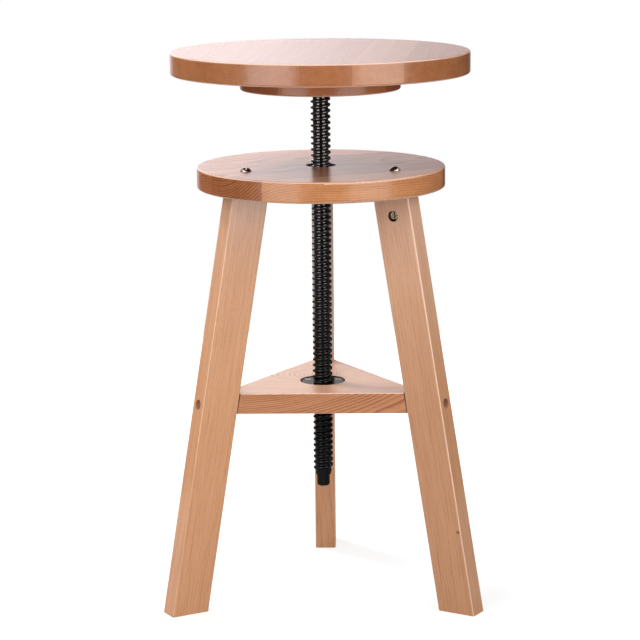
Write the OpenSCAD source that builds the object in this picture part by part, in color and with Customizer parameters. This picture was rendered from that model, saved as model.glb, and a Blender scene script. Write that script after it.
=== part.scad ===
// Three-legged wooden stool whose round seat rises and falls on a steel lifting screw.
// Everything is laid out about the screw axis, then moved so that the origin is the centre
// of the stool's footprint box on the floor. Z is up, and the stool is seen from -Y.

/* [Seat] */
// Diameter of the seat
seat_d = 300; // [260:5:340]
// Thickness of the seat
seat_t = 22; // [18:1:30]
// Height of the seat's top above the floor as it stands
seat_h = 558; // [530:1:600]
// Radius of the eased edges of the seat and of the frame disc
disc_edge_r = 2; // [1:0.5:4]

/* [Backing disc] */
// Diameter of the backing disc under the seat
backing_d = 161; // [140:1:165]
// Thickness of the backing disc
backing_t = 16; // [14:1:24]
// Radius of the eased lower edge of the backing disc
backing_edge_r = 1.5; // [1:0.5:3]
// Gap between the screw and the hole it passes through in the backing disc
backing_hole_gap = 0.6; // [0.4:0.1:2]

/* [Lifting screw] */
// Outer diameter of the screw thread
thread_d = 20; // [18:0.5:24]
// Depth of the thread
thread_depth = 2.2; // [1.5:0.1:3]
// Pitch of the thread, one start, right-handed
thread_pitch = 6; // [5:0.25:8]
// Width of the thread's crest
crest_w = 1.6; // [1.2:0.1:2]
// Length of each sloping flank along the axis
flank_l = 1.1; // [0.8:0.1:1.4]
// Length of the screw from the underside of its plate to the shoulder at its tip
screw_l = 410; // [380:1:430]
// Plain neck at the top of the screw, under its plate
neck_l = 1.5; // [1:0.5:8]
// Diameter of the plain tip
tip_d = 13; // [10:0.5:14]
// Length of the plain tip
tip_l = 11.5; // [8:0.5:16]
// Chamfer at the end of the tip
tip_chamfer = 1; // [0.5:0.25:2]

/* [Screw plate] */
// Diameter of the steel plate welded to the top of the screw
plate_d = 90; // [70:1:110]
// Thickness of that plate
plate_t = 4; // [3:0.5:5]
// Radius of the circle of plate screws
plate_screw_r = 34; // [28:1:44]
// Number of plate screws
plate_screw_n = 4; // [3:1:6]
// Length of the plate screws
plate_screw_l = 16; // [12:1:20]
// Leg length of the weld bead under the plate
weld_l = 2.2; // [1.5:0.1:2.8]

/* [Frame disc] */
// Diameter of the frame disc that ties the legs together
frame_d = 250; // [230:5:290]
// Thickness of the frame disc
frame_t = 21; // [18:1:26]
// Height of the frame disc's top above the floor
frame_h = 443; // [400:1:470]
// Diameter of the hole that the screw passes through
frame_hole_d = 30; // [26:1:40]

/* [Legs] */
// Width of a leg's wide face
leg_w = 39.5; // [32:0.5:46]
// Thickness of a leg
leg_t = 22; // [18:0.5:28]
// Radius at which a leg's centre line meets the frame disc
leg_top_r = 85; // [78:1:95]
// Radius at which a leg's centre line meets the floor
foot_r = 160.5; // [140:0.5:190]
// Radius of a leg's eased arrises
arris_r = 1.6; // [1:0.2:3]

/* [Shelf] */
// Thickness of the triangular shelf
shelf_t = 21; // [18:1:26]
// Height of the shelf's top above the floor
shelf_h = 221; // [190:1:260]
// Chamfer along the shelf's long edges
shelf_chamfer = 0.8; // [0.4:0.1:2]

/* [Lifting nut] */
// Diameter of the nut's flange
flange_d = 44; // [43.5:0.5:54]
// Thickness of the nut's flange
flange_t = 3; // [2.6:0.1:5]
// Depth of the flange's top below the shelf's
flange_sink = 0.7; // [0.2:0.1:1.5]
// Gap round the flange in the shelf
flange_gap = 0.9; // [0.2:0.1:1.5]
// Diameter of the nut's barrel
barrel_d = 27; // [25.5:0.5:28]
// Length of the whole nut
nut_l = 24; // [21:1:34]
// Radius of the circle of nut screws
nut_screw_r = 17.75; // [17.25:0.25:18]
// Number of nut screws
nut_screw_n = 3; // [2:1:4]
// Length of the nut screws
nut_screw_l = 15; // [10:1:17]
// Radial gap between the screw's thread and the nut's thread
thread_gap = 0.35; // [0.3:0.05:0.5]
// Gap between the flanks of the two threads, beside what the radial gap gives
flank_gap = 0.1; // [0.05:0.05:0.2]

/* [Leg bolts and barrel nuts] */
// Diameter of a leg bolt
bolt_d = 6; // [5:0.5:8]
// Diameter of a leg bolt's domed head
bolt_head_d = 11.5; // [10:0.5:14]
// Height of that head
bolt_head_h = 4.4; // [3:0.1:5]
// Width of the slot across the head
bolt_slot_w = 1.5; // [1:0.1:2.2]
// Depth of that slot
bolt_slot_l = 1.8; // [1.2:0.1:2.6]
// Diameter of a barrel nut
cross_nut_d = 9; // [8.5:0.5:11]
// Length of a barrel nut
cross_nut_l = 14; // [12:0.5:16]
// Diameter of the hole that a barrel nut lies in
cross_bore_d = 10.8; // [10.2:0.2:12.5]
// Depth of the barrel nut below the leg's face
cross_nut_recess = 2.8; // [0.5:0.1:3.2]
// Distance from the top of a leg down to its barrel nut
cross_nut_drop = 22.5; // [20:0.5:30]
// Width of the slot in the end of a barrel nut
cross_slot_w = 1.4; // [1:0.1:2]
// Depth of that slot
cross_slot_l = 1.6; // [1:0.1:2.5]

/* [Leg dowels] */
// Diameter of the dowel between a leg and the frame disc
dowel_d = 8; // [6:0.5:8]
// Depth of the dowel in the frame disc
dowel_up = 11; // [8:1:14]
// Depth of the dowel in the leg
dowel_down = 13; // [10:1:15]
// Distance from the leg's centre line out to the dowel
dowel_out = 12; // [11.5:0.25:12.5]

/* [Shelf screws] */
// Diameter of a shelf screw's shank
shelf_screw_d = 6.4; // [5:0.2:7]
// Length of a shelf screw's shank
shelf_screw_l = 48; // [42:1:56]
// Diameter of a shelf screw's head
shelf_head_d = 10; // [9:0.5:12]
// Height of a shelf screw's head
shelf_head_h = 4; // [3:0.5:5]
// Depth of the head below the leg's outer face
shelf_head_recess = 7; // [3:0.5:8]
// Height of the shelf screws above the middle of the shelf's edge
shelf_screw_rise = 2; // [0:0.5:3]

/* [Backing screws] */
// Radius of the circle of backing disc screws
backing_screw_r = 62; // [58:1:66]
// Number of backing disc screws
backing_screw_n = 4; // [3:1:6]
// Diameter of their counterbores
backing_bore_d = 9; // [8.5:0.5:11]
// Depth of their counterbores
backing_bore_l = 6; // [5:0.5:8]
// Length of the backing disc screws below the head
backing_screw_l = 24; // [20:1:26]

/* [Wood screws and fits] */
// Diameter of the wood screws in the plate and the nut
wood_screw_d = 3.6; // [3:0.2:4]
// Diameter of their countersunk heads
csk_head_d = 6.8; // [6.4:0.2:7]
// Diameter of the backing disc screws
backing_screw_d = 4.2; // [3.5:0.1:5]
// Diameter of the backing disc screws' pan heads
pan_head_d = 8; // [7.5:0.1:8.4]
// Height of the pan heads
pan_head_h = 2.8; // [2:0.1:3.5]
// Width across the arms of a cross recess
recess_l = 3.4; // [2.8:0.1:3.8]
// Gap round a piece that drops into a hole or recess
fit_gap = 0.2; // [0.1:0.05:0.4]

/* [Hidden] */
$fn = 72;
eps = 0.5;

leg_angles = [210, 330, 90];
leg_n = len(leg_angles);
bolt_slot_turns = [60, 155, 20];
frame_z = frame_h - frame_t;
splay = atan((foot_r - leg_top_r) / frame_z);
leg_reach = leg_w / 2 / cos(splay);

seat_z = seat_h - seat_t;
backing_z = seat_z - backing_t;
plate_z = seat_z - plate_t;
screw_z = plate_z - screw_l;
tip_z = screw_z - tip_l;

thread_r = thread_d / 2;
root_r = thread_r - thread_depth;
thread_steps = 18;
thread_fade = thread_steps / 2;
backing_hole_r = thread_r + backing_hole_gap;

shelf_z = shelf_h - shelf_t;
flange_z = shelf_h - flange_sink - flange_t;
nut_z = shelf_h - flange_sink - nut_l;
nut_screw_turn = 30;

cross_nut_z = frame_z - cross_nut_drop;
cross_bore_z = cross_nut_z - (cross_bore_d - cross_nut_d) / 2 + fit_gap;
bolt_lean = atan((centre_r(cross_nut_z) - leg_top_r) / (frame_h - cross_nut_z));
bolt_seat = bolt_head_d / 2 * sin(bolt_lean);
bolt_l = (frame_h - cross_nut_z) / cos(bolt_lean) + cross_nut_d / 2;
bolt_hole_l = bolt_l + cross_bore_d / 2;
nut_play = 0.05;
dowel_r = leg_top_r + dowel_out;

shelf_screw_z = shelf_z + shelf_t / 2 + shelf_screw_rise;
shelf_head_r = centre_r(shelf_screw_z) + leg_reach - shelf_head_recess - shelf_head_h;

foot_reach = foot_r + leg_reach;
back_reach = max(foot_reach, seat_d / 2, frame_d / 2);
front_reach = max(foot_reach / 2 + leg_t / 2 * cos(30), seat_d / 2, frame_d / 2);
axis_y = (front_reach - back_reach) / 2;

wood = [0.86, 0.66, 0.48];
black_steel = [0.07, 0.07, 0.08];
nickel = [0.62, 0.58, 0.54];
brass = [0.76, 0.66, 0.46];
bronze = [0.42, 0.29, 0.21];

// Radius of a leg's centre line at height z
function centre_r(z) = leg_top_r + (frame_z - z) * tan(splay);

// Puts a piece that is drawn about the screw axis where it stands over the footprint
module on_axis() {
    translate([0, axis_y, 0]) children();
}

// Copies round the screw axis, n of them at radius r, the first at angle turn
module ring(n, r, turn = 0) {
    for (i = [0 : n - 1]) rotate(turn + i * 360 / n) translate([r, 0, 0]) children();
}

// One copy at each leg, with +X pointing out along the leg's middle plane
module at_legs() {
    for (a = leg_angles) rotate(a) children();
}

// One copy on each leg bolt's axis, which leans out so as to meet the middle of the leg at
// the barrel nut, with z = 0 where the bolt's head bears on the frame disc
module on_bolts() {
    for (i = [0 : leg_n - 1]) rotate(leg_angles[i]) translate([leg_top_r, 0, frame_h])
        rotate([0, -bolt_lean, 0]) translate([0, 0, -bolt_seat]) rotate(bolt_slot_turns[i])
            children();
}

// Round slab with a quarter-round at both edges
module eased_disc(d, t, r_low, r_high) {
    rotate_extrude() intersection() {
        union() {
            translate([0, r_low]) square([d / 2, t - r_low - r_high]);
            square([d / 2 - r_low, t / 2]);
            translate([0, t / 2]) square([d / 2 - r_high, t / 2]);
            translate([d / 2 - r_low, r_low]) circle(r_low);
            translate([d / 2 - r_high, t - r_high]) circle(r_high);
        }
        square([d, t]);
    }
}

// Flat-headed screw along +Z, its head's face at z = 0 and its point at z = l
module csk_screw(d, head_d, l) {
    cone = (head_d - d) / 2;
    difference() {
        union() {
            cylinder(d1 = head_d, d2 = d, h = cone);
            translate([0, 0, cone - 0.01]) cylinder(d = d, h = l - cone - d + 0.01);
            translate([0, 0, l - d]) cylinder(d1 = d, d2 = d / 4, h = d);
        }
        cross_recess(cone);
    }
}

// Hole for such a screw, a gap wider all round and deeper than its point
module csk_hole(d, head_d, l) {
    cone = (head_d - d) / 2;
    translate([0, 0, -eps])
        cylinder(d1 = head_d + 2 * (fit_gap + eps), d2 = d + 2 * fit_gap, h = cone + eps);
    cylinder(d = d + 2 * fit_gap, h = l + fit_gap);
}

// Cross recess cut into a head from z = 0 to depth h
module cross_recess(h) {
    arm_w = recess_l / 4;
    for (a = [0, 90]) rotate(a)
        translate([-recess_l / 2, -arm_w / 2, -eps]) cube([recess_l, arm_w, h * 0.7 + eps]);
}

// Threaded rod from z0 to z1 about the Z axis. The crest's centre line passes angle a at
// heights pitch * a / 360, so any two rods made here are in mesh with each other.
// lead is the plain length below the first turn, and neck that above the last one.
module threaded_rod(z0, z1, r_root, r_crest, crest, flank, lead, neck) {
    n = thread_steps;
    rise = thread_pitch / n;
    half = crest / 2 + flank;
    start = z0 + lead + half;
    steps = floor((z1 - neck - start - half) / rise) - n;
    turn = 360 * start / thread_pitch;
    height = function(k) start + rise * k;
    fade = function(k) min(1, k / thread_fade, (steps - k) / thread_fade);
    crest_r = function(k) r_root + (r_crest - r_root) * fade(k);
    at = function(k, r, z) [r * cos(turn + 360 * k / n), r * sin(turn + 360 * k / n), z];

    // a is the foot of the lower flank, b and c the crest's two edges, d the upper foot
    a_points = [for (k = [0 : steps + n]) at(k, r_root, height(k) - half)];
    b_points = [for (k = [0 : steps]) at(k, crest_r(k), height(k) - crest / 2)];
    c_points = [for (k = [0 : steps]) at(k, crest_r(k), height(k) + crest / 2)];
    d_points = [for (k = [0 : steps]) at(k, r_root, height(k) + half)];
    low_ring = [for (k = [0 : n - 1]) at(k, r_root, z0)];
    high_ring = [for (k = [0 : n - 1]) at(steps + k, r_root, z1)];

    a = function(k) k;
    b = function(k) steps + n + 1 + k;
    c = function(k) b(steps) + 1 + k;
    d = function(k) c(steps) + 1 + k;
    low = function(k) d(steps) + 1 + k % n;
    high = function(k) low(n - 1) + 1 + k % n;

    // two triangles between a lower edge p-q and an upper edge s-r
    pair = function(p, q, r, s) [[p, r, q], [p, s, r]];

    turns = [
        for (k = [0 : steps - 1])
        for (t = concat(
            pair(a(k), a(k + 1), b(k + 1), b(k)),
            pair(b(k), b(k + 1), c(k + 1), c(k)),
            pair(c(k), c(k + 1), d(k + 1), d(k)),
            pair(d(k), d(k + 1), a(k + 1 + n), a(k + n))
        )) t
    ];
    below = [
        for (k = [0 : n - 1])
        for (t = k < n - 1
            ? pair(low(k), low(k + 1), a(k + 1), a(k))
            : pair(low(k), low(0), a(0), a(k))) t
    ];
    start_line = [a(0), b(0), c(0), d(0), a(n)];
    below_seam = [for (i = [0 : 3]) [a(n - 1), start_line[i + 1], start_line[i]]];
    above = [
        for (k = [1 : n - 1])
        for (t = pair(a(steps + k), a(steps + k + 1), high(k + 1), high(k))) t
    ];
    end_line = [a(steps), b(steps), c(steps), d(steps), a(steps + n), high(0)];
    above_seam = [for (i = [0 : 4]) [a(steps + 1), end_line[i], end_line[i + 1]]];
    above_corner = [[a(steps + 1), high(0), high(1)]];
    low_cap = [[for (k = [0 : n - 1]) low(k)]];
    high_cap = [[for (k = [n - 1 : -1 : 0]) high(k)]];

    polyhedron(
        points = concat(a_points, b_points, c_points, d_points, low_ring, high_ring),
        faces = concat(
            turns, below, below_seam, above, above_seam, above_corner, low_cap, high_cap
        )
    );
}

// Seat: round beech slab, with pilot holes in its underside
module seat() {
    color(wood) on_axis() difference() {
        translate([0, 0, seat_z]) eased_disc(seat_d, seat_t, disc_edge_r, disc_edge_r);
        translate([0, 0, plate_z]) ring(plate_screw_n, plate_screw_r)
            cylinder(d = wood_screw_d + 2 * fit_gap, h = plate_screw_l + fit_gap);
        translate([0, 0, backing_z + backing_bore_l]) ring(backing_screw_n, backing_screw_r, 45)
            cylinder(d = backing_screw_d + 2 * fit_gap, h = backing_screw_l + fit_gap);
    }
}

// Backing disc: covers the screw's plate and stiffens the seat
module backing_disc() {
    color(wood) on_axis() difference() {
        translate([0, 0, backing_z]) difference() {
            eased_disc(backing_d, 2 * backing_t, backing_edge_r, backing_edge_r);
            translate([0, 0, backing_t]) cylinder(d = backing_d + eps, h = backing_t + eps);
        }
        translate([0, 0, backing_z - eps]) cylinder(r = backing_hole_r, h = backing_t + 2 * eps);
        translate([0, 0, plate_z - fit_gap])
            cylinder(d = plate_d + 2 * fit_gap, h = plate_t + fit_gap + eps);
        translate([0, 0, backing_z]) ring(backing_screw_n, backing_screw_r, 45) {
            translate([0, 0, -eps]) cylinder(d = backing_bore_d, h = backing_bore_l + eps);
            cylinder(d = backing_screw_d + 2 * fit_gap, h = backing_t + eps);
        }
    }
}

// Pan-headed screws that hold the backing disc to the seat
module backing_screws() {
    color(nickel) on_axis() translate([0, 0, backing_z + backing_bore_l])
        ring(backing_screw_n, backing_screw_r, 45) difference() {
            union() {
                translate([0, 0, -pan_head_h / 2]) cylinder(d = pan_head_d, h = pan_head_h / 2);
                translate([0, 0, -pan_head_h])
                    cylinder(d1 = pan_head_d * 0.75, d2 = pan_head_d, h = pan_head_h / 2 + 0.01);
                cylinder(d = backing_screw_d, h = backing_screw_l - backing_screw_d);
                translate([0, 0, backing_screw_l - backing_screw_d])
                    cylinder(d1 = backing_screw_d, d2 = backing_screw_d / 4, h = backing_screw_d);
            }
            translate([0, 0, -pan_head_h]) cross_recess(pan_head_h);
        }
}

// Plate: steel disc welded to the top of the screw and let into the backing disc
module screw_plate() {
    color(black_steel) on_axis() difference() {
        union() {
            translate([0, 0, plate_z]) cylinder(d = plate_d, h = plate_t);
            translate([0, 0, plate_z - weld_l])
                cylinder(r1 = root_r + 0.3, r2 = root_r + weld_l, h = weld_l + 0.01);
        }
        translate([0, 0, plate_z - weld_l - eps]) cylinder(r = root_r + 0.05, h = weld_l + eps);
        translate([0, 0, plate_z]) ring(plate_screw_n, plate_screw_r)
            csk_hole(wood_screw_d, csk_head_d, plate_t + eps);
    }
}

// Countersunk screws that hold the plate to the seat
module plate_screws() {
    color(nickel) on_axis() translate([0, 0, plate_z]) ring(plate_screw_n, plate_screw_r)
        csk_screw(wood_screw_d, csk_head_d, plate_screw_l);
}

// Lifting screw: one right-handed thread from the shoulder above the tip to the neck
module lifting_screw() {
    color(black_steel) on_axis()
        threaded_rod(screw_z, plate_z, root_r, thread_r, crest_w, flank_l, 1, neck_l);
}

// Tip: plain turned end of the screw, thinner than the thread's root
module screw_tip() {
    color(black_steel) on_axis() translate([0, 0, tip_z]) {
        cylinder(d1 = tip_d - 2 * tip_chamfer, d2 = tip_d, h = tip_chamfer);
        translate([0, 0, tip_chamfer]) cylinder(d = tip_d, h = tip_l - tip_chamfer);
    }
}

// Frame disc: carries the legs and lets the screw through
module frame_disc() {
    color(wood) on_axis() difference() {
        translate([0, 0, frame_z]) eased_disc(frame_d, frame_t, disc_edge_r, disc_edge_r);
        translate([0, 0, frame_z - eps]) cylinder(d = frame_hole_d, h = frame_t + 2 * eps);
        on_bolts() {
            cylinder(d = bolt_head_d + 2 * fit_gap, h = bolt_head_h);
            bolt_hole();
        }
        at_legs() translate([dowel_r, 0, frame_z - eps])
            cylinder(d = dowel_d + 2 * fit_gap, h = dowel_up + eps);
    }
}

// Hole for a leg bolt's shank, down through the disc and past the barrel nut
module bolt_hole() {
    translate([0, 0, -bolt_hole_l]) cylinder(d = bolt_d + 2 * fit_gap, h = bolt_hole_l + eps);
}

// Leg blank: a rectangle with eased arrises, raked outwards and cut level at both ends
module raked_leg() {
    reach = leg_w + leg_t;
    intersection() {
        translate([leg_top_r, 0, frame_z]) rotate([0, -splay, 0])
            translate([0, 0, -frame_z / cos(splay) - reach])
                linear_extrude(frame_z / cos(splay) + 2 * reach) {
                    square([leg_w - 2 * arris_r, leg_t], center = true);
                    square([leg_w, leg_t - 2 * arris_r], center = true);
                    for (x = [-1, 1], y = [-1, 1])
                        translate([x * (leg_w / 2 - arris_r), y * (leg_t / 2 - arris_r)])
                            circle(arris_r);
                }
        translate([0, -leg_t, 0]) cube([foot_r + leg_w + reach, 2 * leg_t, frame_z]);
    }
}

// One leg with its holes for the bolt, the barrel nut, the dowel and the shelf screw
module leg(angle) {
    color(wood) on_axis() difference() {
        rotate(angle) difference() {
            raked_leg();
            translate([centre_r(cross_nut_z), -leg_t / 2 - eps, cross_bore_z])
                rotate([-90, 0, 0])
                    cylinder(d = cross_bore_d, h = cross_nut_recess + cross_nut_l + fit_gap + eps);
            translate([dowel_r, 0, frame_z - dowel_down])
                cylinder(d = dowel_d + 2 * fit_gap, h = dowel_down + eps);
            translate([0, 0, shelf_screw_z]) rotate([0, 90, 0]) {
                cylinder(d = shelf_screw_d + 2 * fit_gap, h = shelf_head_r + eps);
                translate([0, 0, shelf_head_r])
                    cylinder(d = shelf_head_d + 2 * fit_gap, h = leg_w + leg_t);
            }
        }
        on_bolts() bolt_hole();
    }
}

module left_leg() {
    leg(leg_angles[0]);
}

module right_leg() {
    leg(leg_angles[1]);
}

module back_leg() {
    leg(leg_angles[2]);
}

// Dowels: stop the legs from turning round their bolts
module leg_dowels() {
    color(wood) on_axis() at_legs()
        translate([dowel_r, 0, frame_z - dowel_down + fit_gap]) {
            chamfer = 1;
            body_l = dowel_down + dowel_up - 2 * fit_gap - 2 * chamfer;
            cylinder(d1 = dowel_d - 2 * chamfer, d2 = dowel_d, h = chamfer);
            translate([0, 0, chamfer]) cylinder(d = dowel_d, h = body_l);
            translate([0, 0, chamfer + body_l])
                cylinder(d1 = dowel_d, d2 = dowel_d - 2 * chamfer, h = chamfer);
        }
}

// Leg bolts: slotted domed heads let a little into the frame disc, shanks down through the
// barrel nuts
module leg_bolts() {
    head_r = bolt_head_d / 2;
    dome_r = (head_r * head_r + bolt_head_h * bolt_head_h) / (2 * bolt_head_h);
    color(nickel) on_axis() on_bolts() difference() {
        union() {
            translate([0, 0, -bolt_l]) cylinder(d = bolt_d, h = bolt_l + eps);
            intersection() {
                translate([0, 0, bolt_head_h - dome_r]) sphere(dome_r);
                cylinder(r = head_r + eps, h = bolt_head_h + eps);
            }
        }
        translate([-bolt_head_d, -bolt_slot_w / 2, bolt_head_h - bolt_slot_l])
            cube([2 * bolt_head_d, bolt_slot_w, bolt_slot_l + eps]);
    }
}

// Barrel nuts: lie across the legs, slotted to be turned in line with the bolts
module barrel_nuts() {
    color(brass) on_axis() at_legs()
        translate([centre_r(cross_nut_z), -leg_t / 2 + cross_nut_recess, cross_nut_z])
            rotate([0, -bolt_lean, 0]) difference() {
                rotate([-90, 0, 0]) cylinder(d = cross_nut_d, h = cross_nut_l);
                translate([0, leg_t / 2 - cross_nut_recess, -cross_nut_d])
                    cylinder(d = bolt_d + 2 * nut_play, h = 2 * cross_nut_d);
                translate([-cross_slot_w / 2, -eps, -cross_nut_d])
                    cube([cross_slot_w, cross_slot_l + eps, 2 * cross_nut_d]);
            }
}

// Shelf: triangle with its corners cut to bear flat on the legs' inner faces
module shelf() {
    inner_r = centre_r(shelf_h) - leg_reach;
    side_y = inner_r / 2 + leg_t / 2 * cos(30);
    color(wood) on_axis() difference() {
        translate([0, 0, shelf_z]) linear_extrude(shelf_t) polygon([
            for (a = leg_angles) (2 * side_y) * [cos(a), sin(a)]
        ]);
        at_legs() translate([centre_r(shelf_z), 0, shelf_z]) rotate([0, -splay, 0])
            translate([-leg_w / 2, -leg_w, -leg_w])
                cube([2 * leg_w, 2 * leg_w, 2 * leg_w + shelf_t]);
        for (i = [0 : leg_n - 1], z = [shelf_z, shelf_h]) rotate(i * 120)
            translate([0, -side_y, z]) rotate([45, 0, 0])
                cube([4 * side_y, shelf_chamfer * sqrt(2), shelf_chamfer * sqrt(2)], center = true);
        at_legs() translate([0, 0, shelf_screw_z]) rotate([0, 90, 0])
            translate([0, 0, shelf_head_r - shelf_screw_l - fit_gap])
                cylinder(d = shelf_screw_d + 2 * fit_gap, h = shelf_screw_l);
        translate([0, 0, shelf_z - eps]) cylinder(d = barrel_d + 2 * fit_gap, h = shelf_t + 2 * eps);
        translate([0, 0, flange_z])
            cylinder(d = flange_d + 2 * flange_gap, h = flange_t + flange_sink + eps);
        translate([0, 0, flange_z + flange_t]) ring(nut_screw_n, nut_screw_r, nut_screw_turn)
            mirror([0, 0, 1]) csk_hole(wood_screw_d, csk_head_d, nut_screw_l);
    }
}

// Shelf screws: one through each leg into the shelf's end
module shelf_screws() {
    socket = 4;
    color(bronze) on_axis() at_legs() translate([shelf_head_r, 0, shelf_screw_z])
        rotate([0, 90, 0]) difference() {
            union() {
                cylinder(d = shelf_head_d, h = shelf_head_h);
                translate([0, 0, shelf_screw_d - shelf_screw_l])
                    cylinder(d = shelf_screw_d, h = shelf_screw_l - shelf_screw_d + eps);
                translate([0, 0, -shelf_screw_l])
                    cylinder(d1 = shelf_screw_d / 3, d2 = shelf_screw_d, h = shelf_screw_d);
            }
            translate([0, 0, shelf_head_h / 2])
                cylinder(d = socket / cos(30), h = shelf_head_h, $fn = 6);
        }
}

// Lifting nut: flanged nut let into the shelf, tapped to match the lifting screw
module lifting_nut() {
    bevel = 0.5;
    tapping = nut_l;
    color(black_steel) on_axis() difference() {
        union() {
            translate([0, 0, nut_z]) cylinder(d = barrel_d, h = nut_l - flange_t + eps);
            translate([0, 0, flange_z]) cylinder(d = flange_d, h = flange_t - bevel);
            translate([0, 0, flange_z + flange_t - bevel])
                cylinder(d1 = flange_d, d2 = flange_d - 2 * bevel, h = bevel);
        }
        threaded_rod(nut_z - tapping, nut_z + nut_l + tapping, root_r + thread_gap,
            thread_r + thread_gap, crest_w + 2 * flank_gap, flank_l, 1, 1);
        translate([0, 0, flange_z + flange_t]) ring(nut_screw_n, nut_screw_r, nut_screw_turn)
            mirror([0, 0, 1]) csk_hole(wood_screw_d, csk_head_d, nut_screw_l);
    }
}

// Nut screws: countersunk, flush with the nut's flange
module nut_screws() {
    color(black_steel) on_axis() translate([0, 0, flange_z + flange_t])
        ring(nut_screw_n, nut_screw_r, nut_screw_turn) mirror([0, 0, 1])
            csk_screw(wood_screw_d, csk_head_d, nut_screw_l);
}

seat();
backing_disc();
backing_screws();
screw_plate();
plate_screws();
lifting_screw();
screw_tip();
frame_disc();
left_leg();
right_leg();
back_leg();
leg_dowels();
leg_bolts();
barrel_nuts();
shelf();
shelf_screws();
lifting_nut();
nut_screws();
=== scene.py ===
"""A three-legged beech stool whose round seat rises and falls on a black steel screw."""
import math

import bmesh
import bpy
from mathutils import Matrix, Vector


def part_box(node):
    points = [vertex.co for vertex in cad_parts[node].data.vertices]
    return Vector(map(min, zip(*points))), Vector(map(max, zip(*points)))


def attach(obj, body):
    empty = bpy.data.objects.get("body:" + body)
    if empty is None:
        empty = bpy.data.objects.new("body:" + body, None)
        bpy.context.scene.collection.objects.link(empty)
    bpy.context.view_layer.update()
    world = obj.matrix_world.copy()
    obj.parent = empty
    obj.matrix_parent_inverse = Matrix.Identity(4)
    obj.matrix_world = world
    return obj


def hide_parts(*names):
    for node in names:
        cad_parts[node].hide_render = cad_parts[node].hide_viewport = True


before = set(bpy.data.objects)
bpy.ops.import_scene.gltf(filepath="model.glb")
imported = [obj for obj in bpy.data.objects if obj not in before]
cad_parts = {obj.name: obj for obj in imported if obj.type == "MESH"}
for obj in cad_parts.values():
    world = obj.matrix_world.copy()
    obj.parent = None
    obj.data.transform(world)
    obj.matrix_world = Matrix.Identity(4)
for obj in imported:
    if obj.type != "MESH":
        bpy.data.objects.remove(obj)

bpy.context.view_layer.update()

# Camera. The stool was photographed with a long lens from 2.4 m off and from a little above
# the seat, so round slabs show as thin ellipses and the upright parts hardly taper.
tip_low, tip_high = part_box("screw_tip")
screw_axis = Vector(((tip_low.x + tip_high.x) / 2, (tip_low.y + tip_high.y) / 2, 0))
image_px = 640
focal_px = 2408
sensor_mm = 36
camera_off = Vector((0.0323, -2.4069, 0.7686))
pan = -0.01435
dip = 0.19874
lean = -0.00839
clip_end = 50

ahead = Vector((math.sin(pan) * math.cos(dip), math.cos(pan) * math.cos(dip), -math.sin(dip)))
level_right = Vector((math.cos(pan), -math.sin(pan), 0))
level_up = level_right.cross(ahead)
right = math.cos(lean) * level_right + math.sin(lean) * level_up
up = math.cos(lean) * level_up - math.sin(lean) * level_right
lens = bpy.data.cameras.new("camera")
lens.sensor_width = sensor_mm
lens.lens = sensor_mm * focal_px / image_px
lens.clip_end = clip_end
camera = bpy.data.objects.new("camera", lens)
camera.matrix_world = (
    Matrix.Translation(screw_axis + camera_off) @ Matrix((right, up, -ahead)).transposed().to_4x4()
)
bpy.context.collection.objects.link(camera)
bpy.context.scene.camera = camera
bpy.context.scene.view_settings.view_transform = "Standard"


# Room. A white sweep stands behind the stool, two tall soft boxes in front of it and a dim pair
# of lamps behind. Polished surfaces mirror the sweep, the front boxes, pale walls at the sides
# and overhead, and the dark between them.
class Wire:
    """A socket of a node. Python's operators on wires add the Math nodes they stand for."""

    def __init__(self, finish, socket):
        self.finish = finish
        self.socket = socket

    def of(self, output):
        """Another output of the same node."""
        return Wire(self.finish, self.socket.node.outputs[output])

    def math(self, operation, *others):
        values = dict(enumerate((self,) + others))
        return self.finish.node("ShaderNodeMath", {"operation": operation}, values)

    def __add__(self, other):
        return self.math("ADD", other)

    def __sub__(self, other):
        return self.math("SUBTRACT", other)

    def __mul__(self, other):
        return self.math("MULTIPLY", other)

    def __truediv__(self, other):
        return self.math("DIVIDE", other)

    def __pow__(self, other):
        return self.math("POWER", other)

    def __rsub__(self, other):
        return self.math("MULTIPLY_ADD", -1, other)

    __radd__ = __add__
    __rmul__ = __mul__


class Finish:
    """The nodes of one material, or of the room's light."""

    def __init__(self, tree):
        tree.nodes.clear()
        self.tree = tree

    def node(self, kind, settings=None, values=None, output=0):
        """Adds a node with its settings and the values or wires of its sockets."""
        made = self.tree.nodes.new(kind)
        for name, value in (settings or {}).items():
            setattr(made, name, value)
        for name, value in (values or {}).items():
            socket = made.inputs[name]
            if isinstance(value, Wire):
                self.tree.links.new(value.socket, socket)
            elif socket.type == "RGBA":
                socket.default_value = (*value, 1)
            else:
                socket.default_value = value
        return Wire(self, made.outputs[output]) if made.outputs else made

    def vector(self, operation, first, second=None, output=0):
        """Adds a Vector Math node."""
        values = {0: first} if second is None else {0: first, 1: second}
        return self.node("ShaderNodeVectorMath", {"operation": operation}, values, output)

    def ease(self, value, low, high):
        """0 below low, 1 above high, and a smooth step between them."""
        return self.node(
            "ShaderNodeMapRange",
            {"interpolation_type": "SMOOTHSTEP"},
            {"Value": value, "From Min": low, "From Max": high},
        )

    def blend(self, share, first, second):
        """The first colour where share is 0, and the second where it is 1."""
        return self.node(
            "ShaderNodeMix", {"data_type": "RGBA"}, {0: share, 6: first, 7: second}, 2
        )


white = (1, 1, 1)
# the soft light on every surface: from all round, from above, from the right, and from straight
# below for the undersides
fill_light = 0.18
fill_above = 0.42
fill_right = 0.05
fill_below = 0.5
below_from = -0.6
below_to = -0.45
# the sweep in the mirror, and the bright band in it that the shelf's top sees
gap_glow = 0.03
sweep_glare = 1.05
sweep_starts = 0.84
sweep_full = 0.97
sweep_shift = 0.25
sweep_rise = 6
rise_from = 0.18
rise_to = 0.25
fall_from = 0.27
fall_to = 0.33
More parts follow.
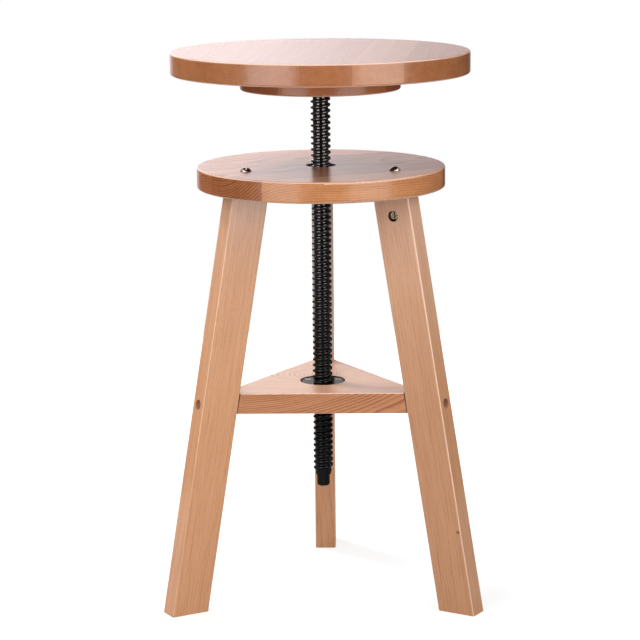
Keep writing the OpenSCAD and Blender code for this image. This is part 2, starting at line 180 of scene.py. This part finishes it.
# the sweep's tint, cooler near the horizon, and its dimmer right half
sweep_tint = (0.82, 0.765, 0.765)
horizon_tint = (1.04, 1.05, 1.18)
horizon_from = 0.08
horizon_to = 0.135
dim_share = 0.76
dim_less = 0.34
dim_from = -0.06
dim_to = 0.06
# the pale walls and ceiling in the mirror
side_glare = 0.85
side_lean = 0.2
side_from = 0.6
side_to = 0.85
side_rise = 0.12
top_glare = 4
top_from = 0.55
top_to = 0.7

studio = bpy.data.worlds.new("studio")
studio.use_nodes = True
bpy.context.scene.world = studio
room = Finish(studio.node_tree)
ray = room.node("ShaderNodeLightPath")
seen = ray.of("Is Camera Ray")
mirrored = ray.of("Is Glossy Ray") + ray.of("Is Transmission Ray")
way = room.node("ShaderNodeTexCoord", output="Generated")
rightward = room.node("ShaderNodeSeparateXYZ", None, {0: way})
back = rightward.of("Y")
rise = rightward.of("Z")
behind = back - rightward.math("MAXIMUM", 0) * sweep_shift
sweep = room.ease(behind, sweep_starts, sweep_full)
low = 1 - room.ease(rise, horizon_from, horizon_to)
sweep = sweep * (1 - room.ease(rightward, dim_from, dim_to) * (dim_share - low * dim_less))
high = room.ease(rise, rise_from, rise_to)
high = high - room.ease(rise, fall_from, fall_to)
sides = room.ease(rightward.math("ABSOLUTE"), side_from, side_to)
sides = sides * (side_glare - rightward * side_lean) * room.ease(rise, 0, side_rise)
overhead = room.ease(rise, top_from, top_to) * top_glare
glare = gap_glow + sweep * (sweep_glare + high * sweep_rise) + sides + overhead
fill = (fill_light + rise * fill_above + rightward * fill_right).math("MAXIMUM", 0)
fill = fill + (1 - room.ease(rise, below_from, below_to)) * fill_below
strength = seen + mirrored * glare + (1 - seen - mirrored) * fill
tint = room.blend(mirrored, white, room.blend(low, sweep_tint, horizon_tint))
room.node(
    "ShaderNodeOutputWorld",
    None,
    {"Surface": room.node("ShaderNodeBackground", None, {"Color": tint, "Strength": strength})},
)

aim_height = 0.35
stool_middle = screw_axis + Vector((0, 0, aim_height))
soft_boxes = (
    # name, degrees round from the camera, distance, height, width, length, watts
    ("left_box", -35.5, 1.6, 1.04, 1.03, 1.85, 22.5),
    ("right_box", 44.5, 1.6, 1.04, 1.12, 1.85, 22.5),
    ("back_box", -131, 1.35, 0.93, 0.85, 0.85, 8),
    ("back_spot", -130, 1.2, 1.5, 0.3, 0.3, 24),
)
for name, turn, distance, height, width, length, watts in soft_boxes:
    box = bpy.data.lights.new(name, "AREA")
    box.shape = "RECTANGLE"
    box.size = width
    box.size_y = length
    box.energy = watts
    stand = bpy.data.objects.new(name, box)
    towards = Vector((math.sin(math.radians(turn)), -math.cos(math.radians(turn)), 0))
    stand.location = screw_axis + towards * distance + Vector((0, 0, height))
    from_behind = name.startswith("back")
    if from_behind:
        towards = (stand.location - stool_middle).normalized()
    stand.rotation_euler = towards.to_track_quat("Z", "Y").to_euler()
    stand.visible_camera = False
    stand.visible_glossy = not from_behind
    bpy.context.collection.objects.link(stand)

# Floor. A white studio table, pale enough to melt into the sweep, that keeps only the faint
# shadows round the feet. It is clear from below, and close under the soles, so that light
# reaches them.
floor_radius = 1.3
floor_sides = 96
floor_colour = (0.3, 0.3, 0.3)
glow_near = 0.74
glow_far = 1.0
fade_from = 0.45
fade_to = 0.95
sole_gap = 0.003

round_table = bmesh.new()
bmesh.ops.create_circle(round_table, cap_ends=True, segments=floor_sides, radius=floor_radius)
floor_mesh = bpy.data.meshes.new("floor")
round_table.to_mesh(floor_mesh)
round_table.free()
floor = bpy.data.objects.new("floor", floor_mesh)
bpy.context.collection.objects.link(floor)

floor_mesh.materials.append(bpy.data.materials.new("white_table"))
floor_mesh.materials[0].use_nodes = True
table = Finish(floor_mesh.materials[0].node_tree)
spot = table.node("ShaderNodeTexCoord", output="Object")
far = table.node("ShaderNodeVectorMath", {"operation": "LENGTH"}, {0: spot}, "Value")
glow = glow_near + table.ease(far, fade_from, fade_to) * (glow_far - glow_near)
seen = table.node("ShaderNodeLightPath", output="Is Camera Ray")
matt = table.node("ShaderNodeBsdfDiffuse", None, {"Color": floor_colour})
shine = table.node("ShaderNodeEmission", None, {"Color": white, "Strength": glow * seen})
lit = table.node("ShaderNodeAddShader", None, {0: matt, 1: shine})
clear = table.node("ShaderNodeBsdfTransparent")
under = table.node("ShaderNodeNewGeometry", output="Backfacing") * seen
near = seen.of("Ray Length").math("LESS_THAN", sole_gap) * (1 - seen)
under = (under + near).math("MINIMUM", 1)
lit = table.node("ShaderNodeMixShader", None, {0: under, 1: lit, 2: clear})
table.node("ShaderNodeOutputMaterial", None, {"Surface": lit})


# Seat. A round slab of edge-glued beech boards with eased edges, under a clear gloss lacquer.
# It is screwed from below to the plate on top of the lifting screw.
mm = 0.001
wood_specular = 0.35
wood_rough = 0.42
pore_rough = 0.12
pore_bump = 0.25
pore_depth = 0.0002
lacquer_ior = 1.5


def facing(along, across):
    """The turn that lays a pattern's Z along the trunk and its X across the board."""
    along = along.normalized()
    through = along.cross(across).normalized()
    return Matrix((through.cross(along), through, along)).transposed().to_euler()


def gloss_lacquer(finish, colour, rough, relief, coat, coat_rough):
    """Closes a wood finish with its clear lacquer over pores that stand in relief."""
    bump = finish.node(
        "ShaderNodeBump", None, {"Strength": pore_bump, "Distance": pore_depth, "Height": relief}
    )
    surface = finish.node(
        "ShaderNodeBsdfPrincipled",
        None,
        {
            "Base Color": colour,
            "Roughness": rough,
            "Normal": bump,
            "Specular IOR Level": wood_specular,
            "Coat Weight": coat,
            "Coat Roughness": coat_rough,
            "Coat IOR": lacquer_ior,
        },
    )
    finish.node("ShaderNodeOutputMaterial", None, {"Surface": surface})


# how the glue joints and the boards of one slab differ
joint_from_mm = 0.3
joint_to_mm = 0.1
board_apart_mm = 900
pith_spread = 3
pith_least, pith_more = 0.6, 0.8
# how large the grain's features are: units a millimetre across the trunk and along it, the
# number of octaves and their roughness
sway_grain = (0.006, 0.005, 3, 0.55)
pore_grain = (3.2, 0.09, 3, 0.65)
fibre_grain = (0.8, 0.022, 3, 0.7)
streak_grain = (0.11, 0.0035, 4, 0.6)
drift_grain = (0.012, 0.002, 2, 0.5)
streaks_from, streaks_to = 0.3, 0.72
year_sway = 3
# rays: how many to a radian round the trunk, and their size outwards and along it
rays_a_radian = 60
ray_reach_mm = 60
ray_length_mm = 3.6
ray_core, ray_edge = 0.12, 0.34
# how much each feature darkens the wood
streak_tone, board_tone, drift_tone, least_tone = 0.25, 0.8, 0.5, 0.05
year_dark, good_year_dark, year_pale = 0.35, 0.5, 0.1
year_least, year_by_board = 0.4, 0.8
ray_dark, ray_end_dark = 0.16, 0.2
pore_dark = 0.4
joint_dark = 0.5
end_dark = 0.5
late_tint = (0.52, 0.38, 0.28)
end_tint = (0.80, 0.66, 0.55)
# the slopes at which a face counts as turned towards the painted light, an arris as eased for its
# painted highlight and a top as level for its painted tint
lit_from, lit_to = 0.2, 0.45
arris_from, arris_to = 0.08, 0.22
level_from, level_to = 0.9, 0.99
pore_relief, late_relief = 0.6, 0.4
# the painted highlight that lightens the eased arrises, where the lacquer would catch the light
edge_highlight_colour = (0.88, 0.64, 0.52)


def beech(
    name, centre, turn, pith, light, deep,
    ring=2.6, board=0, shift=0.5, draw=0, bow=0, bow_from=0, figure=1.0, fibre=0.5, sway_mm=16,
    bores=(), coat=1.0, coat_rough=0.21, front_light=None, top_light_tint=None, edge_highlight_share=0.5,
):
    """Solid lacquered beech, in millimetres about centre, its trunk's axis at pith.

    Boards of the given width lie side by side, each from its own part of the tree.
    bow bends the rings along the trunk, from bow_from on. figure is how strongly the rings
    show, fibre how strongly the fine streaks between them do, and edge_highlight_share how
    strongly the painted highlight lightens the eased edges.
    Each bore is a point, the way it opens, a radius and the colour of its unlacquered wall; for
    the dark holes and joints that colour is painted shade.
    front_light is painted light on the faces that look one way: a share, the heights between
    which it grows, that way and the lit colour. top_light_tint is a painted tint of the light
    on the faces that look up. coat is the lacquer, which bores lack.
    """
    made = bpy.data.materials.new(name)
    made.use_nodes = True
    wood = Finish(made.node_tree)
    spot = wood.node("ShaderNodeTexCoord", output="Object")
    place = wood.node(
        "ShaderNodeMapping",
        {"vector_type": "TEXTURE"},
        {"Vector": spot, "Location": centre, "Rotation": turn, "Scale": (mm,) * 3},
    )
    face = wood.node(
        "ShaderNodeMapping",
        {"vector_type": "TEXTURE"},
        {"Vector": spot.of("Normal"), "Rotation": turn},
    )
    face = wood.node("ShaderNodeSeparateXYZ", None, {0: face})
    place = wood.node("ShaderNodeSeparateXYZ", None, {0: place})
    x, y, z = place, place.of("Y"), place.of("Z")

    joint = 0
    lot = 0.5
    pith_x, pith_y = pith
    if board:
        count = x / board + shift
        number = count.math("FLOOR")
        edge = (count - number - 0.5).math("ABSOLUTE")
        joint = wood.ease(edge, 0.5 - joint_from_mm / board, 0.5 - joint_to_mm / board)
        drawn = wood.node(
            "ShaderNodeTexWhiteNoise", {"noise_dimensions": "1D"}, {"W": number + draw}
        )
        drawn = wood.node("ShaderNodeSeparateColor", None, {0: drawn.of("Color")})
        lot = drawn.of("Blue")
        x = x - (number + 0.5 - shift) * board
        side = 2 * drawn.of("Green").math("GREATER_THAN", 0.5) - 1
        pith_x = (drawn - 0.5) * pith_spread * pith_x
        pith_y = (drawn.of("Green") * pith_more + pith_least) * side * pith_y
        z = z + lot * board_apart_mm

    def grain(across, along, octaves, rough, output=0):
        vector = wood.node(
            "ShaderNodeCombineXYZ", None, {0: x * across, 1: y * across, 2: z * along}
        )
        return wood.node(
            "ShaderNodeTexNoise", None,
            {"Vector": vector, "Scale": 1, "Detail": octaves, "Roughness": rough}, output,
        )

    # the trunk's axis wanders a little from end to end
    sway = wood.node("ShaderNodeSeparateColor", None, {0: grain(*sway_grain, "Color")})
    from_x = x - pith_x + (sway - 0.5) * sway_mm
    bent = z - bow_from
    from_y = y - pith_y + (sway.of("Green") - 0.5) * sway_mm - bent * bent * bow
    radius = (from_x * from_x + from_y * from_y).math("SQRT")
    angle = from_y.math("ARCTAN2", from_x)

    # a year's growth darkens slowly and ends at once
    years = radius / ring + (sway.of("Blue") - 0.5) * year_sway
    year = years.math("FLOOR")
    late = (years - year) ** 2
    good_year = wood.node("ShaderNodeTexWhiteNoise", {"noise_dimensions": "1D"}, {"W": year})

    # rays run from the pith to the bark: short dashes on a flat-sawn face, lines on an end
    ray_at = wood.node(
        "ShaderNodeCombineXYZ", None,
        {0: angle * rays_a_radian, 1: radius / ray_reach_mm, 2: z / ray_length_mm},
    )
    ray_cell = wood.node("ShaderNodeTexVoronoi", None, {"Vector": ray_at, "Scale": 1}, "Distance")
    rays = 1 - wood.ease(ray_cell, ray_core, ray_edge)

    pores = grain(*pore_grain)
    fibres = grain(*fibre_grain)
    streaks = wood.ease(grain(*streak_grain), streaks_from, streaks_to)
    drift = grain(*drift_grain)

    end = face.of("Z").math("ABSOLUTE") ** 3
    tone = streaks * streak_tone + lot * board_tone + (drift - 0.5) * drift_tone - least_tone
    colour = wood.blend(tone, light, deep)
    # painted light: faces that look the given way grow paler above a height, as if lit by the
    # lamps and the lacquer's sheen
    if front_light:
        share, low, high, direction, lit_wood = front_light
        height = wood.node("ShaderNodeSeparateXYZ", None, {0: spot}, "Z")
        toward_light = wood.vector("DOT_PRODUCT", spot.of("Normal"), direction, "Value")
        share = wood.ease(height, low, high) * wood.ease(toward_light, lit_from, lit_to) * share
        colour = wood.blend(share, colour, lit_wood)
    dark = (late * (year_dark + good_year_dark * good_year) - year_pale) * figure
    dark = dark * (year_least + year_by_board * lot)
    dark = dark + rays * (ray_dark + ray_end_dark * end)
    dark = dark + (pores - 0.5) * pore_dark + (fibres - 0.5) * fibre + joint * joint_dark
    brown = wood.vector("MULTIPLY", colour, late_tint)
    colour = wood.blend(dark, colour, brown)
    end_brown = wood.vector("MULTIPLY", colour, end_tint)
    colour = wood.blend(end * end_dark, colour, end_brown)

    # painted light: an eased arris gets a painted highlight, and a top that looks up gets a
    # painted tint of the light and sheen that fall on it
    through = face.of("Y") * face.of("Y")
    edge_highlight_mask = wood.ease(through * (1 - through), arris_from, arris_to) * edge_highlight_share
    colour = wood.blend(edge_highlight_mask, colour, edge_highlight_colour)
    if top_light_tint:
        upward = wood.node("ShaderNodeSeparateXYZ", None, {0: spot.of("Normal")}, "Z")
        top_lit = wood.vector("MULTIPLY", colour, top_light_tint)
        colour = wood.blend(wood.ease(upward, level_from, level_to), colour, top_lit)

    # a bore has no lacquer and takes its colour: painted shade in dark holes and joints, else its
    # own
    bare = 0
    for point, direction, radius, bare_colour in bores:
        reach = wood.vector("SUBTRACT", spot, point)
        outside = wood.vector("DOT_PRODUCT", reach, direction, "Value").math("GREATER_THAN", 0)
        reach = wood.vector("CROSS_PRODUCT", reach, direction)
        inside = wood.vector("LENGTH", reach, output="Value").math("LESS_THAN", radius) * outside
        colour = wood.blend(inside, colour, bare_colour)
        bare = inside + bare
    gloss_lacquer(
        wood, colour, wood_rough + pores * pore_rough, pores * pore_relief + late * late_relief,
        (1 - bare) * coat, coat_rough,
    )
    return made


def dress(node, material):
    """Gives a CAD node its finish."""
    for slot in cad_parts[node].material_slots:
        slot.material = material


def middle(node):
    """The middle of a CAD node's box."""
    low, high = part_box(node)
    return (low + high) / 2


beech_deep = (0.275, 0.082, 0.02)
seat_grain = math.radians(85)
# the seat's top tint is painted sheen: the cool cast of the glare on its lacquer
dress("seat", beech(
    "beech_seat", middle("seat"),
    facing(Vector((math.cos(seat_grain), math.sin(seat_grain), 0)), Vector((1, 0, 0))),
    pith=(40, 80), light=(0.48, 0.198, 0.077), deep=beech_deep, board=48, shift=0.079,
    draw=4497, figure=0.6, fibre=0.8, top_light_tint=(0.71, 0.82, 1.22), coat=0.95,
))

# Backing disc. A smaller disc of the same beech under the seat, turned to shape, hollowed for
# the screw's plate and held by four screws in counterbores.
backing_grain = math.radians(12)
dress("backing_disc", beech(
    "beech_backing", middle("backing_disc"),
    facing(Vector((math.cos(backing_grain), math.sin(backing_grain), 0)), Vector((0, 1, 0))),
    pith=(18, 40), light=(0.45, 0.147, 0.048), deep=(0.28, 0.076, 0.02), board=54, shift=0.1,
    draw=11, coat=0.5,
))


# Small wood screws. Steel with a thin bright nickel plating, a cross recess in each head.
# Four hold the backing disc and four hold the plate to the seat.
mottle_scale = 60
worn_share = 0.25
worn_tone = 0.45
mottle_rough = 0.5
grain_bump = 0.15
grain_depth = 0.0001


def metal(
    name, colour, rough, metallic=1.0, wear=0.15, coat=0.0, coat_rough=0.1, coat_ior=1.5,
    grain_mm=0.6, shaded_from=0, shaded_to=0, shaded_share=0,
):
    """Plated, painted or bare metal whose tone and polish vary a little over the surface.

    Below shaded_to the coat thins as painted shade, and from shaded_from down it keeps only
    shaded_share.
    """
    made = bpy.data.materials.new(name)
    made.use_nodes = True
    skin = Finish(made.node_tree)
    spot = skin.node("ShaderNodeTexCoord", output="Object")
    fine = skin.node(
        "ShaderNodeTexNoise", None, {"Vector": spot, "Scale": 1 / (grain_mm * mm), "Detail": 3}
    )
    broad = skin.node(
        "ShaderNodeTexNoise", None, {"Vector": spot, "Scale": mottle_scale, "Detail": 2}
    )
    mottle = (fine - 0.5) * wear + (broad - 0.5) * wear
    dull = tuple(c * worn_tone for c in colour)
    shade = skin.blend(worn_share + mottle, colour, dull)
    bump = skin.node(
        "ShaderNodeBump", None, {"Strength": grain_bump, "Distance": grain_depth, "Height": fine}
    )
    # painted shade: the coat, and with it the reflections, thins towards the bottom
    if shaded_to:
        height = skin.node("ShaderNodeSeparateXYZ", None, {0: spot}, "Z")
        unshaded = skin.ease(height, shaded_from, shaded_to)
        coat = (shaded_share + unshaded * (1 - shaded_share)) * coat
    surface = skin.node(
        "ShaderNodeBsdfPrincipled",
        None,
        {
            "Base Color": shade,
            "Roughness": rough + mottle * mottle_rough,
            "Metallic": metallic,
            "Normal": bump,
            "Specular IOR Level": 0.5 if metallic else 0.0,
            "Coat Weight": coat,
            "Coat Roughness": coat_rough,
            "Coat IOR": coat_ior,
        },
    )
    skin.node("ShaderNodeOutputMaterial", None, {"Surface": surface})
    return made


nickel = metal("bright_nickel", (0.55, 0.52, 0.48), rough=0.25)
dress("backing_screws", nickel)
dress("plate_screws", nickel)

# Screw plate. A steel disc welded to the top of the screw and painted with it. It lies hidden
# between the seat and the backing disc.
black = (0.003, 0.003, 0.0036)
# its coat thins below the frame disc as painted shade on the screw's lower part
black_paint = metal(
    "black_paint", black, rough=0.3, metallic=0.0, wear=0.2, coat=0.96, coat_rough=0.03,
    coat_ior=1.9, grain_mm=0.9, shaded_from=0.22, shaded_to=0.45, shaded_share=0.22,
)
dress("screw_plate", black_paint)

# Lifting screw. A steel bar with one right-handed thread, narrow rounded crests and wide
# valleys, in gloss black paint. It is the seat's spindle and turns in the nut below.
pitch = 0.006
steps_a_turn = 40
thread_root = 0.0078
thread_crest = 0.010
plain_below = 0.0029
plain_above = 0.0094
fade_length = 0.003
weld_gap = 0.00001
cut_slack = 0.000001
thread_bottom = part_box("lifting_screw")[0].z
thread_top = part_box("lifting_screw")[1].z
fade_start = thread_bottom + plain_below
fade_end = thread_top - plain_above
thread_form = (
    # height from the crest's middle in millimetres, share of the thread's depth
    (3.0, 0), (2.3, 0), (1.98, 0.03), (1.75, 0.14), (1.42, 0.46), (1.1, 0.8), (0.86, 0.94),
    (0.5, 1.0), (0, 1.02),
)
first_turn = math.floor(thread_bottom / pitch) - 1
turns = math.ceil(thread_top / pitch) + 1 - first_turn
outline = [(-h, s) for h, s in thread_form] + [(h, s) for h, s in reversed(thread_form[:-1])]

bar = bmesh.new()
line = [
    bar.verts.new((
        thread_root + (thread_crest - thread_root) * share, 0, first_turn * pitch + height * mm,
    ))
    for height, share in outline
]
for lower, upper in zip(line, line[1:]):
    bar.edges.new((lower, upper))
bmesh.ops.spin(
    bar, geom=bar.verts[:] + bar.edges[:], cent=(0, 0, 0), axis=(0, 0, 1),
    dvec=(0, 0, pitch / steps_a_turn), angle=math.tau, steps=steps_a_turn,
    use_merge=False, use_duplicate=False,
)
bmesh.ops.spin(
    bar, geom=bar.verts[:] + bar.edges[:] + bar.faces[:], cent=(0, 0, 0), axis=(0, 0, 1),
    dvec=(0, 0, pitch), angle=0, steps=turns - 1, use_merge=False, use_duplicate=True,
)
bmesh.ops.remove_doubles(bar, verts=bar.verts[:], dist=weld_gap)
for v in bar.verts:
    # the first half turn of thread grows out of the plain end, and the last sinks back
    around = math.atan2(v.co.y, v.co.x) / math.tau
    crest_z = (around + round(v.co.z / pitch - around)) * pitch
    grown = min(crest_z - fade_start, fade_end - crest_z) / fade_length
    grown = min(1, max(0, grown))
    out = math.hypot(v.co.x, v.co.y)
    kept = (thread_root + (out - thread_root) * grown) / out
    v.co.x *= kept
    v.co.y *= kept
for height, side in ((thread_bottom, -1), (thread_top, 1)):
    cut = bmesh.ops.bisect_plane(
        bar, geom=bar.verts[:] + bar.edges[:] + bar.faces[:], dist=cut_slack,
        plane_co=(0, 0, height), plane_no=(0, 0, side), clear_outer=True,
    )
    rim = [e for e in cut["geom_cut"] if isinstance(e, bmesh.types.BMEdge)]
    bmesh.ops.contextual_create(bar, geom=rim)
bmesh.ops.translate(bar, verts=bar.verts[:], vec=screw_axis)
bmesh.ops.recalc_face_normals(bar, faces=bar.faces[:])
for f in bar.faces:
    # the two cut ends stay flat
    f.smooth = len(f.verts) < 6
bar_mesh = bpy.data.meshes.new("threaded_bar")
bar.to_mesh(bar_mesh)
bar.free()
bar_mesh.materials.append(black_paint)
threaded_bar = bpy.data.objects.new("threaded_bar", bar_mesh)
bpy.context.collection.objects.link(threaded_bar)
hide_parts("lifting_screw")
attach(threaded_bar, "seat")

# Screw tip. The bar's lower end, turned down below the thread's root, chamfered and painted.
# It leads the screw into the nut when the stool is put together.
dress("screw_tip", black_paint)

# Frame disc. A round slab of edge-glued beech that ties the three legs together. The screw
# passes through its middle and a bolt runs down through it into each leg.
disc_grain = math.radians(25)
disc_bore_r = 0.0155
beech_light = (0.53, 0.222, 0.084)
# painted shade: near-black wood for the walls of dark holes and the joints where shade falls
painted_shade_wood = (0.10, 0.04, 0.016)
# the disc's top tint is painted sheen, a little cooler than the wood
dress("frame_disc", beech(
    "beech_disc", middle("frame_disc"),
    facing(Vector((math.cos(disc_grain), math.sin(disc_grain), 0)), Vector((0, 1, 0))),
    pith=(20, -60), light=beech_light, deep=beech_deep, ring=2.5, board=62.5, shift=0.243,
    draw=5562, figure=3.2, fibre=1.1, top_light_tint=(0.87, 0.92, 1.1), coat=0.68,
    # painted shade on the wall of the screw's hole
    bores=((screw_axis, (0, 0, 1), disc_bore_r, painted_shade_wood),),
))

# Legs. Three straight beech bars, raked outwards, their arrises eased and their ends cut level.
# Each is bolted and dowelled to the disc and screwed through to the shelf. The right leg has
# one pin knot near its foot.
rake = math.radians(10.12)
shelf_bore_z = middle("shelf_screws").z
shelf_bore_r = 0.0053
nut_bore_out = 0.089
nut_bore_z = middle("barrel_nuts").z - 0.0007
nut_bore_r = 0.0055
knot_out = 0.1622
knot_across = 0.009
knot_z = 0.0849
knot_r = 0.0017
cut_wood = (0.44, 0.23, 0.14)
knot_wood = (0.24, 0.09, 0.04)
leg_light = (0.62, 0.33, 0.17)
leg_deep = (0.47, 0.20, 0.09)
front = (0, -1, 0)
# the last column paints light on the faces that look to the front: the lamps on the side legs, and
# the lacquer's pale sheen high on the back leg
legs = (
    # name, degrees round from X, pith, tone, figure, share of the painted arris highlight, painted
    # light on the faces that look to the front
    ("left_leg", 210, (-66, 30), 1.08, 0.6, 0.2, (0.2, 0.2, 0.4, front, (0.74, 0.52, 0.40))),
    ("right_leg", 330, (70, 34), 0.98, 0.6, 0.5, (0.35, 0.2, 0.4, front, (0.90, 0.60, 0.45))),
    ("back_leg", 90, (60, 40), 1.16, 0.8, 0.4, (0.9, 0.19, 0.25, front, (0.54, 0.42, 0.36))),
)
for name, round_from_x, pith, tone, figure, edge_highlight_share, front_light in legs:
    a = math.radians(round_from_x)
    outward = Vector((math.cos(a), math.sin(a), 0))
    along = Vector((0, 0, math.cos(rake))) - outward * math.sin(rake)
    across = outward.cross(Vector((0, 0, 1)))
    knots = []
    if name == "right_leg":
        knot = screw_axis + outward * knot_out + across * knot_across + Vector((0, 0, knot_z))
        knots.append((knot, across, knot_r, knot_wood))
    dress(name, beech(
        "beech_" + name, middle(name), facing(along, outward), pith=pith,
        light=tuple(c * tone for c in leg_light), deep=tuple(c * tone for c in leg_deep),
        ring=3.1, figure=figure, fibre=1.6, sway_mm=9, front_light=front_light, coat_rough=0.13, edge_highlight_share=edge_highlight_share,
        bores=(
            (screw_axis + Vector((0, 0, shelf_bore_z)), outward, shelf_bore_r, cut_wood),
            # painted shade in the barrel nut's hole
            (
                screw_axis + outward * nut_bore_out + Vector((0, 0, nut_bore_z)),
                across, nut_bore_r, painted_shade_wood,
            ),
            *knots,
        ),
    ))

# Leg dowels. Plain beech pegs glued between each leg and the disc beside the bolt, so that the
# leg can't turn. They are hidden once the stool is put together.
dress("leg_dowels", beech(
    "beech_dowels", middle("leg_dowels"), facing(Vector((0, 0, 1)), Vector((1, 0, 0))),
    pith=(30, 30), light=beech_light, deep=beech_deep, ring=2.0,
))

# Leg bolts and barrel nuts. Domed slotted bolts in dark chrome lean out by half as much as the
# legs, and each pulls its leg up against the disc by a slotted brass barrel nut that lies
# across the leg.
dress("leg_bolts", metal("dark_chrome", (0.34, 0.31, 0.29), rough=0.07, wear=0.06))
dress("barrel_nuts", metal("brass", (0.72, 0.58, 0.38), rough=0.16))

# Shelf. A beech triangle with its corners cut off to bear on the legs. It braces them and
# carries the nut that the screw runs in. The lacquer stops short of its ends, which carry
# painted shade where they meet the legs, as does the wall round the nut's flange.
shelf_end_r = 0.1003
shelf_end_z = 0.221
shelf_end_reach = 0.05
flange_bore_r = 0.0231
shelf_grain = Vector((1, 0.03, 0))
# painted shade at the shelf's ends, where they meet the legs
shelf_end_shade = []
for _, round_from_x, *_ in legs:
    a = math.radians(round_from_x)
    outward = Vector((math.cos(a), math.sin(a), 0))
    shelf_end_shade.append((
        screw_axis + outward * shelf_end_r + Vector((0, 0, shelf_end_z)),
        outward * math.cos(rake) + Vector((0, 0, math.sin(rake))), shelf_end_reach, painted_shade_wood,
    ))
# the shelf's top tint is painted light: a paler, pinker top, as if lit from above and behind
dress("shelf", beech(
    "beech_shelf", middle("shelf"), facing(shelf_grain, Vector((0, 1, 0))),
    pith=(6, -70), light=(0.55, 0.25, 0.11), deep=(0.40, 0.15, 0.055),
    ring=1.3, bow=0.0017, bow_from=-105, figure=2.6, fibre=1.4, sway_mm=5,
    bores=shelf_end_shade + [(screw_axis, Vector((0, 0, 1)), flange_bore_r, painted_shade_wood)],
    coat_rough=0.4, top_light_tint=(1.04, 1.42, 2.2),
))

# Shelf screws. Bronzed screws sunk deep in the legs' outer faces, driven level through each leg
# into a corner of the shelf.
dress("shelf_screws", metal("bronze", (0.85, 0.47, 0.31), rough=0.5, metallic=0.2))

# Lifting nut. A flanged steel nut let into the shelf and tapped to suit the screw, in the same
# gloss black, with three countersunk screws in its flange.
dress("lifting_nut", metal(
    "black_nut", black, rough=0.3, metallic=0.0, wear=0.2, coat=0.18, coat_rough=0.06,
    grain_mm=0.9,
))
dress("nut_screws", metal("black_screws", (0.03, 0.03, 0.032), rough=0.25))
